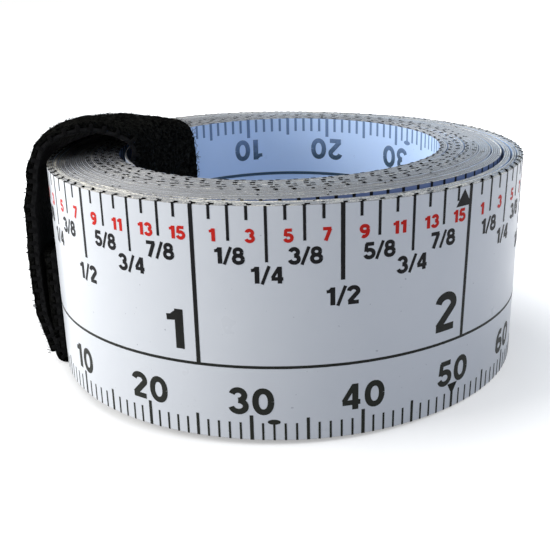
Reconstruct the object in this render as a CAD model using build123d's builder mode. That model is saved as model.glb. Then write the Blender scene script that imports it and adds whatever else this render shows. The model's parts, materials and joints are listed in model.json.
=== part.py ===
from build123d import *
import math
import os

# A bare steel measuring tape, wound into an open coil and held by a hook-and-loop strap.
# The strap goes round the coil's wall: down the outside, under, up through the bore, over the
# top, and down the outside again over its own first lap. The strap passes under the coil, so the
# coil leans on it and on the far side of its own rim.
#
# Frame: +Z up, the floor at Z = 0, the strap on the -X side. The origin is at the middle of the
# overall box, on the floor. Lengths are in millimetres and angles in degrees.

# ---- Tape blade ----
tape_width = 21.2
tape_thickness = 0.17
turn_gap = 0.042           # air between one turn and the next
turn_count = 38            # whole turns, not counting the sprung inner end
half_turns_in_length = 10  # the ribbon is modelled end to end in lengths of this many half turns
coil_radius = 24.6         # outside of the outermost turn
outer_end_angle = 175.5    # where the tape's outer end lies, from +X, under the strap
spring_bend_radius = 12.0  # the inner end kinks inwards off the wall at this radius
spring_bend_angle = 30.0
inner_end_angle = 52.0     # from the kink to the cut end, which comes back to the wall

# ---- Strap ----
hook_strip_thickness = 0.5
pile_strip_thickness = 0.65
strap_front_angle = 27.5   # the front edge runs out from the axis, this far round from -X
strap_back_offset = 7.3    # the back edge runs along -X, this far behind the axis
strap_clearance = 0.2      # air between the strap and the tape
lap_gap = 0.1              # air between the first lap and the flap
first_lap_top = 11.5       # height of the strap's buried end on the outer wall
flap_end = 0.6             # height of the flap's free end
flap_hinge_gap = 0.1
flap_hinge_drop = 0.3      # from the end of the top outer bend down to the hinge
top_arch_outer = 1.2       # the strap's rise over the coil at the outer rim
top_arch_inner = 0.5       # and at the bore
bottom_corner = 0.4        # inside radii of the strap's bends
bore_top_corner = 0.8
flap_corner = 2.0

# ---- Edge stitching ----
stitch_pitch = 1.3
stitch_width = 0.4
stitch_length = 0.7
stitch_height = 0.2

# ---- Worked out from the sizes above ----
turn_pitch = tape_thickness + turn_gap
outer_line_radius = coil_radius - tape_thickness / 2
inner_line_radius = outer_line_radius - turn_count * turn_pitch
strap_thickness = hook_strip_thickness + pile_strip_thickness
outer_lap_radius = coil_radius + strap_clearance
flap_radius = outer_lap_radius + strap_thickness + lap_gap
flap_outer_radius = flap_radius + strap_thickness

# The lean lets the strap's underside and the far rim share the floor.
lean = math.degrees(math.atan2(strap_clearance + strap_thickness, coil_radius + outer_lap_radius))
lean_cos = math.cos(math.radians(lean))
lean_sin = math.sin(math.radians(lean))
reach_left = flap_outer_radius * lean_cos - flap_end * lean_sin
reach_right = coil_radius * lean_cos + tape_width * lean_sin

# ---- Frames of the coil, the tape and the strap ----
coil_plane = Plane(
    origin=((reach_left - reach_right) / 2, 0, coil_radius * lean_sin),
    x_dir=(lean_cos, 0, -lean_sin),
    z_dir=(lean_sin, 0, lean_cos),
)
coil_axis = Axis(coil_plane.origin, coil_plane.z_dir)


def direction_round_coil(angle):
    """The direction out from the coil's axis at an angle round it."""
    return coil_plane.x_dir.rotate(Axis((0, 0, 0), coil_plane.z_dir), angle)


# In each of the strap's edge planes, +X points out of the bore and +Y up the coil's axis.
front_direction = direction_round_coil(180 + strap_front_angle)
front_edge_plane = Plane(
    coil_plane.origin,
    x_dir=front_direction,
    z_dir=front_direction.cross(coil_plane.z_dir),
)
back_edge_plane = Plane(
    coil_plane.origin + Vector(0, strap_back_offset, 0),
    x_dir=-coil_plane.x_dir,
    z_dir=(0, 1, 0),
)
front_to_back_axis = Axis(coil_plane.origin, -coil_plane.z_dir)

tape_plane = Plane(coil_plane.origin, direction_round_coil(outer_end_angle), coil_plane.z_dir)

# ---- Tape blade: one ribbon, its turns drawn as half circles on two centres ----
with BuildLine() as centre_line:
    turn = JernArc((outer_line_radius, 0), (0, 1), outer_line_radius, 180)
    for half_turn in range(1, 2 * turn_count):
        half_radius = outer_line_radius - half_turn * turn_pitch / 2
        turn = JernArc(turn @ 1, turn % 1, half_radius, 180)
    bend = JernArc(turn @ 1, turn % 1, spring_bend_radius, spring_bend_angle)
    cut_end = Vector(inner_line_radius, 0).rotate(Axis.Z, inner_end_angle)
    tail = TangentArc(bend @ 1, cut_end, tangent=bend % 1)


def tape_length(lines):
    """The length of tape that follows some of the centre line's arcs."""
    with BuildPart() as length:
        with BuildSketch(tape_plane):
            trace(lines, line_width=tape_thickness)
        extrude(amount=tape_width)
    return length.part.solid()


centre_arcs = centre_line.edges().sort_by(centre_line.wires()[0])
tape_blade = Compound(
    [
        tape_length(centre_arcs[first : first + half_turns_in_length])
        for first in range(0, len(centre_arcs), half_turns_in_length)
    ]
)

# The sprung end bulges into the bore, and the strap's run there stays clear of it.
bulge_radius = tail.distance_to(Vertex(0, 0, 0)) - tape_thickness / 2
bore_lap_radius = bulge_radius - strap_clearance
top_slope = math.atan2(top_arch_outer - top_arch_inner, flap_radius - bore_lap_radius)
flap_corner_reach = flap_corner * math.tan(math.pi / 4 + top_slope / 2)
hinge_height = tape_width + top_arch_outer - flap_corner_reach - flap_hinge_drop


def reach(radius, offset):
    """How far out a radius lies in an edge plane that passes the coil's axis at an offset."""
    return math.sqrt(radius**2 - offset**2)


def band_path(depth, offset=0):
    """The band's line in an edge plane, at a depth out from its tape side."""
    underside = -strap_clearance - depth
    outside = reach(outer_lap_radius + depth, offset)
    inside = reach(bore_lap_radius - depth, offset)
    flap_line = reach(flap_radius + depth, offset)
    top_offset = depth / math.cos(top_slope)
    top_inner = tape_width + top_arch_inner + top_offset - depth * math.tan(top_slope)
    top_outer = tape_width + top_arch_outer + top_offset + depth * math.tan(top_slope)
    return FilletPolyline(
        (outside, first_lap_top),
        (outside, underside),
        (inside, underside),
        (inside, top_inner),
        (flap_line, top_outer),
        (flap_line, hinge_height),
        radius=[
            bottom_corner + depth,
            bottom_corner + depth,
            bore_top_corner + depth,
            flap_corner + depth,
        ],
    )


def flap_path(depth, offset=0):
    """The flap's line in an edge plane, at a depth out from its tape side."""
    flap_line = reach(flap_radius + depth, offset)
    return Line((flap_line, hinge_height - flap_hinge_gap), (flap_line, flap_end))


def strip_section(path, near_depth, far_depth):
    """The cross-section of one strip of the strap, between two depths of its path."""
    with BuildSketch() as section:
        with BuildLine():
            near_line = path(near_depth)
            far_line = path(far_depth)
            Line(near_line @ 0, far_line @ 0)
            Line(near_line @ 1, far_line @ 1)
        make_face()
    return section.sketch


def stitch_row(path, offset):
    """Short stitches across the seam between the two strips, spaced evenly along a path."""
    with BuildLine():
        seam = path(hook_strip_thickness, offset)
    stitch_count = int(seam.length / stitch_pitch)
    with BuildSketch() as row:
        for index in range(stitch_count):
            station = (index + 0.5) / stitch_count
            with Locations(Location(seam @ station, (0, 0, seam.tangent_angle_at(station)))):
                Rectangle(stitch_width, stitch_length)
    return row.sketch


# ---- Strap band: from the buried end, round the coil's wall, to the flap's bend ----
with BuildPart() as hook_strip_band:
    with BuildSketch(front_edge_plane):
        add(strip_section(band_path, 0, hook_strip_thickness))
    revolve(axis=front_to_back_axis, revolution_arc=strap_front_angle + 90)
    split(bisect_by=back_edge_plane, keep=Keep.BOTTOM)

# The coil's weight presses the pile flat along the floor.
with BuildPart() as pile_strip_band:
    with BuildSketch(front_edge_plane):
        add(strip_section(band_path, hook_strip_thickness, strap_thickness))
    revolve(axis=front_to_back_axis, revolution_arc=strap_front_angle + 90)
    split(bisect_by=back_edge_plane, keep=Keep.BOTTOM)
    split(bisect_by=Plane.XY)

with BuildPart() as edge_stitching_band:
    with BuildSketch(front_edge_plane):
        add(stitch_row(band_path, 0))
    extrude(amount=-stitch_height)
    with BuildSketch(back_edge_plane):
        add(stitch_row(band_path, strap_back_offset))
    extrude(amount=stitch_height)

# ---- Strap flap: the outer lap that peels open from the top bend ----
with BuildPart() as hook_strip_flap:
    with BuildSketch(front_edge_plane):
        add(strip_section(flap_path, 0, hook_strip_thickness))
    revolve(axis=front_to_back_axis, revolution_arc=strap_front_angle + 90)
    split(bisect_by=back_edge_plane, keep=Keep.BOTTOM)

with BuildPart() as pile_strip_flap:
    with BuildSketch(front_edge_plane):
        add(strip_section(flap_path, hook_strip_thickness, strap_thickness))
    revolve(axis=front_to_back_axis, revolution_arc=strap_front_angle + 90)
    split(bisect_by=back_edge_plane, keep=Keep.BOTTOM)

with BuildPart() as edge_stitching_flap:
    with BuildSketch(front_edge_plane):
        add(stitch_row(flap_path, 0))
    extrude(amount=-stitch_height)
    with BuildSketch(back_edge_plane):
        add(stitch_row(flap_path, strap_back_offset))
    extrude(amount=stitch_height)

# ---- Files ----
tape_blade.label = "tape_blade"
hook_strip_band.part.label = "hook_strip_band"
pile_strip_band.part.label = "pile_strip_band"
edge_stitching_band.part.label = "edge_stitching_band"
hook_strip_flap.part.label = "hook_strip_flap"
pile_strip_flap.part.label = "pile_strip_flap"
edge_stitching_flap.part.label = "edge_stitching_flap"

os.makedirs("parts", exist_ok=True)
export_step(tape_blade, "parts/tape_blade.step")
export_step(hook_strip_band.part, "parts/hook_strip_band.step")
export_step(pile_strip_band.part, "parts/pile_strip_band.step")
export_step(edge_stitching_band.part, "parts/edge_stitching_band.step")
export_step(hook_strip_flap.part, "parts/hook_strip_flap.step")
export_step(pile_strip_flap.part, "parts/pile_strip_flap.step")
export_step(edge_stitching_flap.part, "parts/edge_stitching_flap.step")

# ---- The places that the record states ----
flap_hinge = coil_plane.from_local_coords(Vector(-flap_outer_radius, 0, hinge_height))
print("coil axis through", coil_plane.origin, "along", coil_plane.z_dir)
print("flap hinge at", flap_hinge)
print("lean", round(lean, 4), "bore lap radius", round(bore_lap_radius, 4))
print("tape length", round(tape_blade.volume / tape_width / tape_thickness, 1))
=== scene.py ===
"""A bare steel measuring tape in an open coil, held by a black hook-and-loop strap.

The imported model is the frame. The tape and the strap are modelled in the coil's own frame, in
millimetres: Z runs up the coil's axis, Z = 0 is the lower edge of the outer turn, and the strap
is on the -X side. Each piece is then set in the row frame, in metres.
"""

import json
import logging
import math
import random
from dataclasses import dataclass
from enum import Enum
from typing import Callable, Sequence, Union

import bmesh
import bpy
from mathutils import Matrix, Vector, noise


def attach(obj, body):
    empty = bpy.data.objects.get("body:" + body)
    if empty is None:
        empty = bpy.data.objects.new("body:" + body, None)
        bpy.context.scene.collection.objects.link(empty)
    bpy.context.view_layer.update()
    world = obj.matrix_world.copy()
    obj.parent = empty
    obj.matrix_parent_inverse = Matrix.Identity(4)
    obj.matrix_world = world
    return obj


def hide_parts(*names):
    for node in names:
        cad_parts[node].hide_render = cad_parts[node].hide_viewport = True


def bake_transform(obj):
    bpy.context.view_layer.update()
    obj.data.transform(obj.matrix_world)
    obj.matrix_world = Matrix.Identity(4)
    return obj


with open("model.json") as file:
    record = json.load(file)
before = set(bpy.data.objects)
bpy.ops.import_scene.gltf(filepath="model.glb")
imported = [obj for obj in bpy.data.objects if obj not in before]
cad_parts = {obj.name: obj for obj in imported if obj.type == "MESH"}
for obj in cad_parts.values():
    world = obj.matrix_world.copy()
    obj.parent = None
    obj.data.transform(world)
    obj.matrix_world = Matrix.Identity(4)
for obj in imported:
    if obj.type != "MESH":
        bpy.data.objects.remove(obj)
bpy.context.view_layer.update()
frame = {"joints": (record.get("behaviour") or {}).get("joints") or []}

log = logging.getLogger("tape_measure")

MM = 0.001
INCH = 25.4
FULL_TURN = 2 * math.pi
TAPE_WIDTH = 21.4
TAPE_THICKNESS = 0.17
OUTER_LAPS = 8
Colour = tuple[float, float, float, float]
Value = Union[float, Colour, "Wire"]


def smooth(value: float, start: float, end: float) -> float:
    """Eases from 0 at start to 1 at end, for either order of the two.

    Args:
        value: Where to read the easing.
        start: The value that gives 0.
        end: The value that gives 1.

    Returns:
        A share from 0 to 1.
    """
    share = min(1.0, max(0.0, (value - start) / (end - start)))
    return share * share * (3 - 2 * share)


def share_near(degrees: float, middle: float, spread: float) -> float:
    """1 in a direction, easing to 0 at a spread on either side of it, all in degrees."""
    return 1 - smooth(abs((degrees - middle + 180) % 360 - 180), 0, spread)


def share_between(degrees: float, span: tuple[float, float, float]) -> float:
    """Eases from 0 in a span's first direction to 1 in its second and back to 0 in its third."""
    middle, end = span[1] - span[0], span[2] - span[0]
    past = (degrees - span[0]) % 360
    return smooth(past, 0, middle) * (1 - smooth(past, middle, end))


def hump(value: float, start: float, end: float) -> float:
    """Rises from 0 at start to 1 half way and back to 0 at end."""
    return math.sin(math.pi * min(1.0, max(0.0, (value - start) / (end - start))))


# ---------------------------------------------------------------- materials


class Wire:
    """A shader socket that can be added, scaled and compared like a number."""

    def __init__(self, surface: "Surface", socket: bpy.types.NodeSocket) -> None:
        """Wraps one output socket of a surface's node tree."""
        self.surface = surface
        self.socket = socket

    def maths(self, operation: str, other: Value = 0.0, swapped: bool = False) -> "Wire":
        """Adds one Math node.

        Args:
            operation: The Math node's operation.
            other: The second operand.
            swapped: Whether the second operand comes first.

        Returns:
            The node's result.
        """
        first, second = (other, self) if swapped else (self, other)
        return self.surface.node("ShaderNodeMath", {"operation": operation}, {0: first, 1: second})

    def __add__(self, other: Value) -> "Wire":
        """The sum."""
        return self.maths("ADD", other)

    __radd__ = __add__

    def __sub__(self, other: Value) -> "Wire":
        """The difference."""
        return self.maths("SUBTRACT", other)

    def __rsub__(self, other: Value) -> "Wire":
        """The difference, with this wire taken away."""
        return self.maths("SUBTRACT", other, swapped=True)

    def __mul__(self, other: Value) -> "Wire":
        """The product."""
        return self.maths("MULTIPLY", other)

    __rmul__ = __mul__

    def __gt__(self, other: Value) -> "Wire":
        """1 where this wire is larger, and 0 elsewhere."""
        return self.maths("GREATER_THAN", other)

    def __lt__(self, other: Value) -> "Wire":
        """1 where this wire is smaller, and 0 elsewhere."""
        return self.maths("LESS_THAN", other)


class Surface:
    """A material, or the world, while its nodes are being made."""

    def __init__(self, owner: bpy.types.Material | bpy.types.World) -> None:
        """Empties the owner's node tree."""
        self.owner = owner
        owner.use_nodes = True
        self.tree = owner.node_tree
        self.tree.nodes.clear()

    @classmethod
    def named(cls, name: str) -> "Surface":
        """Starts a new material."""
        return cls(bpy.data.materials.new(name))

    def node(
        self,
        kind: str,
        settings: dict[str, object] | None = None,
        inputs: dict[str | int, Value] | None = None,
        output: str | int = 0,
    ) -> Wire:
        """Adds a node, sets it up and joins its inputs.

        Args:
            kind: The node's type.
            settings: The node's own settings. The key "stops" fills a colour ramp.
            inputs: Values or wires for its input sockets.
            output: The output socket that is wanted.

        Returns:
            The wanted output.
        """
        made = self.tree.nodes.new(kind)
        for key, value in (settings or {}).items():
            if key == "stops":
                self.fill_ramp(made, value)
            else:
                setattr(made, key, value)
        for key, value in (inputs or {}).items():
            if isinstance(value, Wire):
                self.tree.links.new(value.socket, made.inputs[key])
            else:
                made.inputs[key].default_value = value
        return Wire(self, made.outputs[output])

    @staticmethod
    def fill_ramp(ramp: bpy.types.Node, stops: Sequence[tuple[float, Colour]]) -> None:
        """Sets a colour ramp's stops.

        Args:
            ramp: The Color Ramp node.
            stops: Places from 0 to 1, each with its colour.
        """
        elements = ramp.color_ramp.elements
        while len(elements) < len(stops):
            elements.new(0.5)
        for element, (place, colour) in zip(elements, stops):
            element.position = place
            element.color = colour

    def where(self, scale: tuple[float, float, float] = (1, 1, 1)) -> Wire:
        """The place on the piece, from its Object coordinates, in millimetres times a scale."""
        place = self.node("ShaderNodeTexCoord", output="Object")
        inputs = {"Vector": place, "Scale": tuple(s / MM for s in scale)}
        return self.node("ShaderNodeMapping", None, inputs)

    def grain(
        self, vector: Wire, scale: float, detail: float = 2.0, roughness: float = 0.5
    ) -> Wire:
        """A noise from about 0 to 1 on a vector.

        Args:
            vector: The place it is read at.
            scale: Lumps for each unit of the vector.
            detail: Octaves.
            roughness: Strength of the finer octaves.

        Returns:
            The noise.
        """
        inputs = {"Vector": vector, "Scale": scale, "Detail": detail, "Roughness": roughness}
        return self.node("ShaderNodeTexNoise", None, inputs, "Fac")

    def ramp(self, share: Wire, stops: Sequence[tuple[float, Colour]]) -> Wire:
        """A colour ramp on a share."""
        return self.node("ShaderNodeValToRGB", {"stops": stops}, {"Fac": share}, "Color")

    def blend(self, share: Value, first: Value, second: Value) -> Wire:
        """Mixes two colours by a share."""
        inputs = {0: share, 6: first, 7: second}
        return self.node("ShaderNodeMix", {"data_type": "RGBA"}, inputs, 2)

    def bump(self, height: Wire, distance: float, strength: float = 1.0) -> Wire:
        """A normal from a height.

        Args:
            height: The height, from 0 to 1.
            distance: How high 1 stands, in millimetres.
            strength: The bump's strength.

        Returns:
            The normal.
        """
        inputs = {"Height": height, "Distance": distance * MM, "Strength": strength}
        return self.node("ShaderNodeBump", None, inputs, "Normal")

    def close(self, **sockets: Value) -> bpy.types.Material:
        """Ends the material in a Principled shader.

        Args:
            sockets: The shader's inputs, with an underscore for each space in their names.

        Returns:
            The finished material.
        """
        inputs = {key.replace("_", " "): value for key, value in sockets.items()}
        shader = self.node("ShaderNodeBsdfPrincipled", None, inputs, "BSDF")
        return self.show(shader)

    def show(self, shader: Wire) -> bpy.types.Material | bpy.types.World:
        """Joins a shader to the output, and returns what it is for."""
        world = isinstance(self.owner, bpy.types.World)
        kind = "ShaderNodeOutputWorld" if world else "ShaderNodeOutputMaterial"
        target = self.tree.nodes.new(kind)
        self.tree.links.new(shader.socket, target.inputs["Surface"])
        return self.owner


@dataclass(frozen=True)
class TapeLacquer:
    """White satin lacquer on one of the tape's faces, with a few specks and a slight mottle."""

    name: str
    white: Colour
    shade: Colour
    speck: Colour
    roughness: float = 0.3

    def make(self) -> bpy.types.Material:
        """Builds the material."""
        surface = Surface.named(self.name)
        place = surface.where()
        mottle = surface.grain(place, 0.35, 3.0)
        lacquer = surface.blend(mottle, self.white, self.shade)
        specks = surface.grain(place, 2.6, 1.0) > 0.79
        colour = surface.blend(specks * 0.55, lacquer, self.speck)
        ripple = surface.grain(place, 1.4, 2.0)
        normal = surface.bump(ripple, 0.004)
        return surface.close(
            Base_Color=colour,
            Roughness=mottle * 0.12 + (self.roughness - 0.06),
            Normal=normal,
            Specular_IOR_Level=0.45,
        )


@dataclass(frozen=True)
class TapeEdge:
    """The tape's slit edges: bare grey steel, gritty, with lacquer crumbs and painted glints."""

    steel: Colour = (0.118, 0.117, 0.117, 1)
    dark: Colour = (0.03, 0.03, 0.03, 1)
    # The lightest tone is painted glints on the steel.
    bright: Colour = (0.62, 0.59, 0.50, 1)
    # The outer laps are drawn lighter: a painted highlight.
    outer_wear: float = 0.07

    def make(self) -> bpy.types.Material:
        """Builds the material."""
        surface = Surface.named("tape_edge")
        place = surface.where()
        grit = surface.grain(place, 6.0, 3.0, 0.7)
        unwound = surface.node("ShaderNodeUVMap", {"uv_map": "unwound"})
        laps = surface.node("ShaderNodeMapping", None, {"Vector": unwound, "Scale": (3.0, 0.9, 1)})
        streaks = surface.grain(laps, 1.0, 3.0, 0.7)
        lap = surface.node("ShaderNodeSeparateXYZ", None, {0: unwound}, "Y")
        # Painted highlight on the outer laps' edges.
        painted_highlight = (lap < OUTER_LAPS + 0.5) * self.outer_wear
        share = grit * 0.5 + streaks * 0.5 + painted_highlight
        stops = [(0.33, self.dark), (0.44, self.steel), (0.56, self.steel), (0.70, self.bright)]
        normal = surface.bump(grit, 0.06, 0.7)
        return surface.close(
            Base_Color=surface.ramp(share, stops),
            Metallic=0.6,
            Roughness=streaks * 0.3 + 0.25,
            Normal=normal,
        )


@dataclass(frozen=True)
class Ink:
    """Printing ink, a little uneven, and thinner towards the tape's lower edge."""

    name: str
    colour: Colour
    thin: Colour
    full_height: float = 16.0
    fade: float = 0.045
    gloss: float = 0.1

    def make(self) -> bpy.types.Material:
        """Builds the material."""
        surface = Surface.named(self.name)
        place = surface.where()
        wear = surface.grain(place, 3.0, 3.0, 0.6)
        height = surface.node("ShaderNodeSeparateXYZ", None, {0: place}, "Z")
        share = wear * 0.5 + (self.full_height - height) * self.fade
        stops = [(0.30, self.colour), (0.80, self.thin)]
        return surface.close(
            Base_Color=surface.ramp(share, stops),
            Roughness=wear * 0.2 + 0.35,
            Specular_IOR_Level=self.gloss,
        )


WHITE_LACQUER = TapeLacquer(
    "tape_lacquer", (0.78, 0.80, 0.83, 1), (0.74, 0.765, 0.80, 1), (0.34, 0.35, 0.40, 1)
)
# The reverse face is the same white lacquer as the front; its blue is painted blue light.
PAINTED_BLUE_LIGHT_LACQUER = TapeLacquer(
    "tape_reverse", (0.57, 0.72, 0.97, 1), (0.53, 0.69, 0.95, 1), (0.30, 0.38, 0.56, 1)
)
SHADED_LACQUER = TapeLacquer(
    "tape_shaded", (0.15, 0.20, 0.36, 1), (0.13, 0.175, 0.32, 1), (0.08, 0.10, 0.18, 1)
)
BLACK_INK = Ink("black_ink", (0.004, 0.004, 0.005, 1), (0.022, 0.0235, 0.019, 1))
RED_INK = Ink("red_ink", (0.66, 0.026, 0.018, 1), (0.72, 0.07, 0.05, 1))
# The blue of the reverse print is painted blue light.
PAINTED_BLUE_LIGHT_INK = Ink("reverse_ink", (0.17, 0.25, 0.40, 1), (0.055, 0.09, 0.13, 1), 20.4, 0.2)
EDGE_INK = Ink("edge_ink", (0.004, 0.0035, 0.003, 1), (0.02, 0.018, 0.016, 1), 21.0, gloss=0.0)


@dataclass(frozen=True)
class StrapPile:
    """Black looped pile, matt and patchy: painted light on its loops, painted shade between."""

    deep: Colour = (0.0008, 0.0008, 0.0009, 1)
    lit: Colour = (0.026, 0.026, 0.0225, 1)

    def make(self) -> bpy.types.Material:
        """Builds the material."""
        surface = Surface.named("strap_pile")
        place = surface.where()
        tufts = surface.grain(place, 2.4, 4.0, 0.65)
        loops = surface.grain(place, 7.5, 2.0)
        height = tufts * 0.6 + loops * 0.4
        # The ramp paints light on the high loops and shade in the hollows between them.
        stops = [(0.42, self.deep), (0.72, self.lit)]
        return surface.close(
            Base_Color=surface.ramp(height, stops),
            Roughness=1.0,
            Normal=surface.bump(height, 0.35, 0.8),
            Specular_IOR_Level=0.0,
        )


@dataclass(frozen=True)
class StrapHooks:
    """Black moulded hooks on a woven ground, in fine rows."""

    deep: Colour = (0.002, 0.002, 0.0022, 1)
    lit: Colour = (0.009, 0.009, 0.0095, 1)

    def make(self) -> bpy.types.Material:
        """Builds the material."""
        surface = Surface.named("strap_hooks")
        rows = surface.grain(surface.where((2.6, 2.6, 2.6)), 1.0, 1.0)
        stops = [(0.40, self.deep), (0.62, self.lit)]
        return surface.close(
            Base_Color=surface.ramp(rows, stops),
            Roughness=0.8,
            Normal=surface.bump(rows, 0.25, 0.8),
            Specular_IOR_Level=0.15,
        )


@dataclass(frozen=True)
class Thread:
    """Black sewing thread, twisted."""

    colour: Colour = (0.0015, 0.0015, 0.0018, 1)

    def make(self) -> bpy.types.Material:
        """Builds the material."""
        surface = Surface.named("strap_thread")
        twist = surface.grain(surface.where((6, 6, 6)), 1.0, 2.0)
        return surface.close(
            Base_Color=self.colour,
            Roughness=twist * 0.2 + 0.7,
            Normal=surface.bump(twist, 0.05),
            Specular_IOR_Level=0.1,
        )


@dataclass(frozen=True)
class Ground:
    """A pale ground, seen near white where it is looked at straight, with a faint shadow."""

    colour: Colour = (0.21, 0.22, 0.25, 1)
    seen: Colour = (0.68, 0.68, 0.68, 1)
    glow_near: float = 0.36
    near: float = 27.0
    far: float = 50.0

    def make(self) -> bpy.types.Material:
        """Builds the material."""
        surface = Surface.named("pale_ground")
        looks = LightPath(surface).looks
        colour = surface.blend(looks, self.colour, self.seen)
        diffuse = surface.node("ShaderNodeBsdfDiffuse", None, {"Color": colour})
        length = {"operation": "LENGTH"}
        away = surface.node("ShaderNodeVectorMath", length, {0: surface.where()}, "Value")
        ends = {"Value": away, 1: self.near, 2: self.far, 3: self.glow_near, 4: 1.0}
        strength = surface.node("ShaderNodeMapRange", {"interpolation_type": "SMOOTHSTEP"}, ends)
        light = {"Color": (1, 1, 1, 1), "Strength": looks * strength}
        glow = surface.node("ShaderNodeEmission", None, light)
        return surface.show(surface.node("ShaderNodeAddShader", None, {0: diffuse, 1: glow}))


class LightPath:
    """Which rays look at a thing straight or in a reflection."""

    def __init__(self, surface: "Surface") -> None:
        """Adds the Light Path node's sockets to a surface."""
        camera = surface.node("ShaderNodeLightPath", None, None, "Is Camera Ray")
        glossy = surface.node("ShaderNodeLightPath", None, None, "Is Glossy Ray")
        clear = surface.node("ShaderNodeLightPath", None, None, "Is Transmission Ray")
        self.looks = camera.maths("MAXIMUM", glossy).maths("MAXIMUM", clear)


# ---------------------------------------------------------------- places and meshes


def joint_named(name: str) -> dict[str, object]:
    """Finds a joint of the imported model."""
    return next(joint for joint in frame["joints"] if joint["name"] == name)


def as_mesh(name: str, shape: bmesh.types.BMesh) -> bpy.types.Mesh:
    """Turns a shape into a mesh, and frees the shape."""
    mesh = bpy.data.meshes.new(name)
    shape.to_mesh(mesh)
    shape.free()
    return mesh


def link(name: str, data: bpy.types.ID) -> bpy.types.Object:
    """Makes an object and puts it in the scene."""
    made = bpy.data.objects.new(name, data)
    bpy.context.scene.collection.objects.link(made)
    return made


def sheet(
    shape: bmesh.types.BMesh, parts: tuple[int, int], low: Sequence[float], high: Sequence[float]
) -> list[bmesh.types.BMVert]:
    """Adds a flat grid to a shape.

    Args:
        shape: The shape that it is added to.
        parts: How many parts it has along X and along Y.
        low: Its corner with the least X and Y.
        high: Its corner with the most X and Y.

    Returns:
        The grid's vertices.
    """
    columns, rows = parts
    made = bmesh.ops.create_grid(shape, x_segments=columns, y_segments=rows, size=0.5)["verts"]
    bmesh.ops.translate(shape, verts=made, vec=(0.5, 0.5, 0))
    bmesh.ops.scale(shape, verts=made, vec=(high[0] - low[0], high[1] - low[1], 1))
    bmesh.ops.translate(shape, verts=made, vec=(low[0], low[1], 0))
    return made


def slips(
    shape: bmesh.types.BMesh, count: int, parts: int
) -> list[list[tuple[bmesh.types.BMVert, float, int]]]:
    """Adds separate flat slips to an empty shape.

    Args:
        shape: The shape that they are added to.
        count: How many slips there are.
        parts: How many parts each has along its length.

    Returns:
        For each slip its vertices, with the place along it from 0 to 1 and the side, 0 or 1.
    """
    rows = 2 * count - 1
    sheet(shape, (parts, rows), (0, 0), (1, rows))
    spare = [f for f in shape.faces if int(f.calc_center_median().y) % 2]
    bmesh.ops.delete(shape, geom=spare, context="FACES")
    found = [[] for _ in range(count)]
    for vert in shape.verts:
        row = round(vert.co.y)
        found[row // 2].append((vert, vert.co.x, row % 2))
    return found


def soften(
    shape: bmesh.types.BMesh, edges: Sequence[bmesh.types.BMEdge], offset: float, segments: int = 2
) -> None:
    """Rounds some of a shape's edges."""
    bmesh.ops.bevel(
        shape,
        geom=edges,
        offset=offset,
        affect="EDGES",
        segments=segments,
        profile=0.5,
        material=-1,
    )


@dataclass(frozen=True)
class CoilPlace:
    """Where the coil stands, read from the joint that the strap slides round it on."""

    to_row: Matrix

    @classmethod
    def from_frame(cls) -> "CoilPlace":
        """Reads the strap_slide joint."""
        joint = joint_named("strap_slide")
        axis = Vector(joint["axis"]).normalized()
        side = Vector((0, 1, 0))
        across = side.cross(axis).normalized()
        turn = Matrix((across, axis.cross(across), axis)).transposed().to_4x4()
        return cls(Matrix.Translation(joint["pos_m"]) @ turn @ Matrix.Scale(MM, 4))

    def floor(self, point: Vector) -> float:
        """The height of the floor under a point, in the coil's frame."""
        rows = self.to_row[2]
        return -(rows[0] * point.x + rows[1] * point.y + rows[3]) / rows[2]


@dataclass(frozen=True)
class Bench:
    """Turns finished bmeshes into pieces that ride on a body."""

    place: CoilPlace

    def finish(
        self,
        name: str,
        shape: bmesh.types.BMesh,
        materials: Sequence[bpy.types.Material],
        body: str | None = None,
        round_angle: float | None = 35.0,
    ) -> bpy.types.Object:
        """Makes an object from a shape in the coil's frame.

        Args:
            name: The piece's name.
            shape: Its mesh in the coil's frame, in millimetres. It is freed.
            materials: Its materials, in the order that its faces number them.
            body: The body that it rides on, or None for a piece that rides on none.
            round_angle: The sharpest edge in degrees that is shaded round, or None for flat.

        Returns:
            The object.
        """
        shape.transform(self.place.to_row)
        mesh = as_mesh(name, shape)
        for material in materials:
            mesh.materials.append(material)
        if round_angle is not None:
            mesh.shade_smooth()
            mesh.set_sharp_from_angle(angle=math.radians(round_angle))
        piece = link(name, mesh)
        if body:
            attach(piece, body)
        log.info("%s: %d faces", name, len(mesh.polygons))
        return piece


# ---------------------------------------------------------------- the wound tape


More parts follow.
